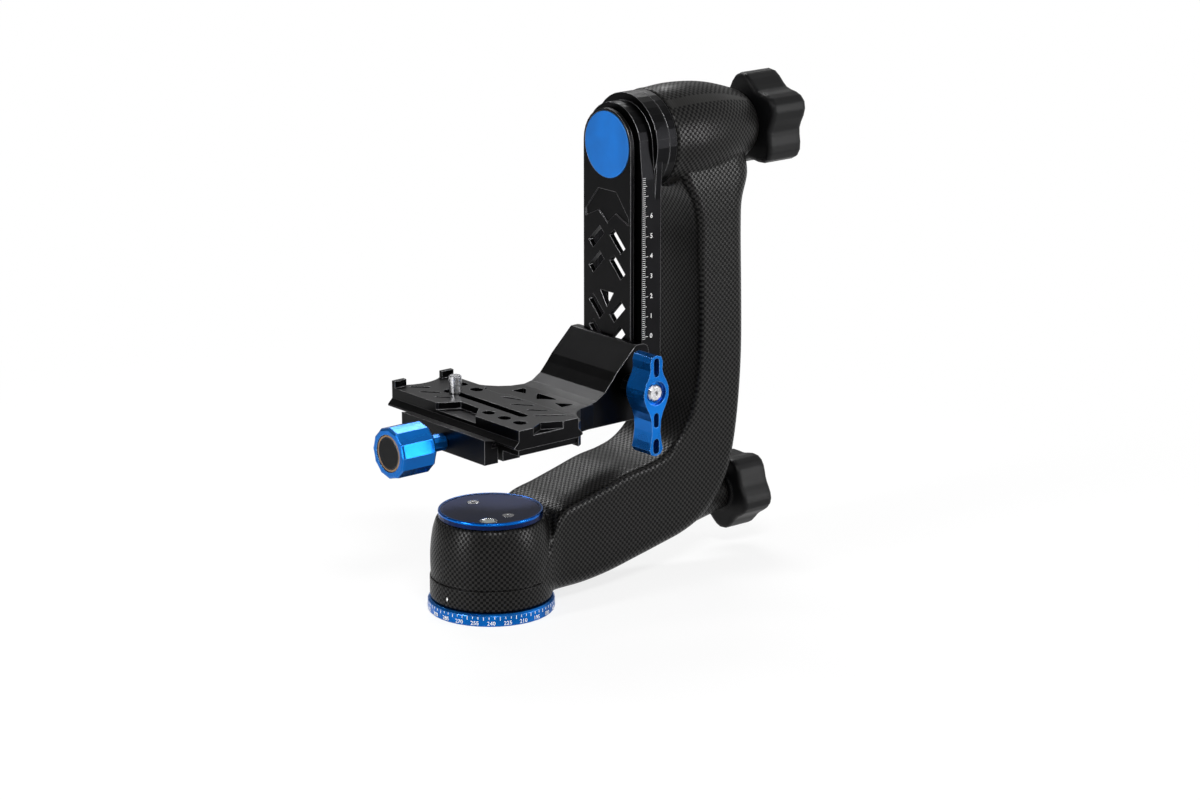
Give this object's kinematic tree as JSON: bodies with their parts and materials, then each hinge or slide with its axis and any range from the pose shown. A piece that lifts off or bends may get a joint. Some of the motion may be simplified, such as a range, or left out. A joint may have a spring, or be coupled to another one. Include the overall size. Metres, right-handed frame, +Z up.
{
  "type": "gimbal tripod head",
  "caption": "Gimbal tripod head: panning base, C-shaped carbon arm and a swinging cradle with a sliding platform and quick-release plate.",
  "frame": {"origin": "on the pan axis, where it leaves the base's underside, at the mouth of the tripod socket", "axes": "+Z up the pan axis, +X from the pan axis towards the upright arm and along the tilt axis, +Y along the lens and the camera plate"},
  "size_m": [0.2447, 0.0998, 0.2452],
  "materials": {
    "black_metal": "black anodised, satin",
    "carbon": "carbon fibre twill under satin lacquer",
    "blue_metal": "bright blue anodised",
    "navy_metal": "dark blue anodised",
    "steel": "turned steel",
    "rubber": "moulded, matte",
    "bronze": "plain bronze",
    "level": "clear vial with liquid"
  },
  "bodies": {
    "base": {"base_disc": "black_metal", "degree_ring": "blue_metal", "pan_spindle": "steel", "pan_lower_inner_race": "steel", "pan_upper_inner_race": "steel", "pan_nut": "steel"},
    "arm": {"arm_shell": "carbon", "pan_sleeve": "black_metal", "pan_lower_outer_race": "steel", "pan_upper_outer_race": "steel", "bearing_retainer": "black_metal", "top_cap": "navy_metal", "cap_screw_1": "steel", "cap_screw_2": "steel", "level_cup": "steel", "level_vial": "level", "tilt_sleeve": "black_metal", "tilt_front_outer_race": "steel", "tilt_rear_outer_race": "steel", "tilt_collar": "black_metal", "pan_knob_bush": "steel", "tilt_knob_bush": "steel"},
    "pan_brake": {"pan_brake_shoe": "bronze"},
    "pan_lock": {"pan_knob": "rubber", "pan_lock_rod": "steel"},
    "tilt_brake": {"tilt_brake_disc": "bronze"},
    "tilt_lock": {"tilt_knob": "rubber", "tilt_lock_rod": "steel"},
    "cradle": {"swing_arm": "black_metal", "badge": "blue_metal", "tilt_shaft": "steel", "tilt_front_inner_race": "steel", "tilt_rear_inner_race": "steel", "tilt_nut": "steel"},
    "platform": {"bracket": "black_metal", "clamp_base": "black_metal", "clamp_base_screw_1": "steel", "clamp_base_screw_2": "steel", "jaw_guide_pin_1": "steel", "jaw_guide_pin_2": "steel", "lever_bush": "black_metal"},
    "rail_shoe": {"rail_clamp_shoe": "bronze"},
    "rail_lever": {"lever": "blue_metal", "lever_screw": "steel", "lever_shaft": "steel"},
    "moving_jaw": {"jaw": "black_metal"},
    "clamp_screw": {"clamp_knob": "blue_metal", "clamp_knob_ring": "bronze", "clamp_knob_insert": "black_metal", "clamp_rod": "steel", "clamp_knob_collar": "blue_metal"},
    "camera_plate": {"qr_plate": "black_metal"},
    "screw_slide": {"screw_slider": "steel"},
    "camera_stud": {"camera_screw": "steel"}
  },
  "joints": [
    {"name": "pan", "type": "hinge", "parent": "base", "child": "arm", "pos_m": [0, 0, 0], "axis": [0, 0, 1], "continuous": true},
    {"name": "pan_brake_travel", "type": "slide", "parent": "arm", "child": "pan_brake", "axis": [-1, 0, 0], "range_m": [0, 0.0004]},
    {"name": "pan_knob_turn", "type": "hinge", "parent": "pan_brake", "child": "pan_lock", "pos_m": [0.1468, 0, 0.03], "axis": [1, 0, 0], "range_deg": [0, 180]},
    {"name": "tilt_brake_travel", "type": "slide", "parent": "arm", "child": "tilt_brake", "axis": [-1, 0, 0], "range_m": [0, 0.0004]},
    {"name": "tilt_knob_turn", "type": "hinge", "parent": "tilt_brake", "child": "tilt_lock", "pos_m": [0.1606, 0, 0.22], "axis": [1, 0, 0], "range_deg": [0, 180]},
    {"name": "tilt", "type": "hinge", "parent": "arm", "child": "cradle", "pos_m": [0.0973, 0, 0.22], "axis": [1, 0, 0], "continuous": true},
    {"name": "rail_slide", "type": "slide", "parent": "cradle", "child": "platform", "axis": [0, 0, 1], "range_m": [0, 0.075]},
    {"name": "rail_shoe_travel", "type": "slide", "parent": "platform", "child": "rail_shoe", "axis": [0, 1, 0], "range_m": [0, 0.00025]},
    {"name": "lever_turn", "type": "hinge", "parent": "rail_shoe", "child": "rail_lever", "pos_m": [0.067, -0.045, 0.1055], "axis": [0, 1, 0], "range_deg": [0, 90]},
    {"name": "jaw_travel", "type": "slide", "parent": "platform", "child": "moving_jaw", "axis": [1, 0, 0], "range_m": [-0.0025, 0.002]},
    {"name": "clamp_knob_turn", "type": "hinge", "parent": "moving_jaw", "child": "clamp_screw", "pos_m": [-0.041, 0, 0.0892], "axis": [1, 0, 0], "range_deg": [-720, 576]},
    {"name": "plate_slide", "type": "slide", "parent": "platform", "child": "camera_plate", "axis": [0, 1, 0], "range_m": [-0.03, 0.03]},
    {"name": "screw_slot_travel", "type": "slide", "parent": "camera_plate", "child": "screw_slide", "axis": [0, 1, 0], "range_m": [-0.052, 0.0035]},
    {"name": "camera_screw_turn", "type": "hinge", "parent": "screw_slide", "child": "camera_stud", "pos_m": [0, 0.027, 0.1], "axis": [0, 0, 1], "continuous": true}
  ],
  "couplings": [
    {"joint": "pan_knob_turn", "follows": "pan_brake_travel", "rad_per_m": 7854},
    {"joint": "tilt_knob_turn", "follows": "tilt_brake_travel", "rad_per_m": 7854},
    {"joint": "lever_turn", "follows": "rail_shoe_travel", "rad_per_m": 6283.2},
    {"joint": "clamp_knob_turn", "follows": "jaw_travel", "rad_per_m": 5026.5}
  ]
}
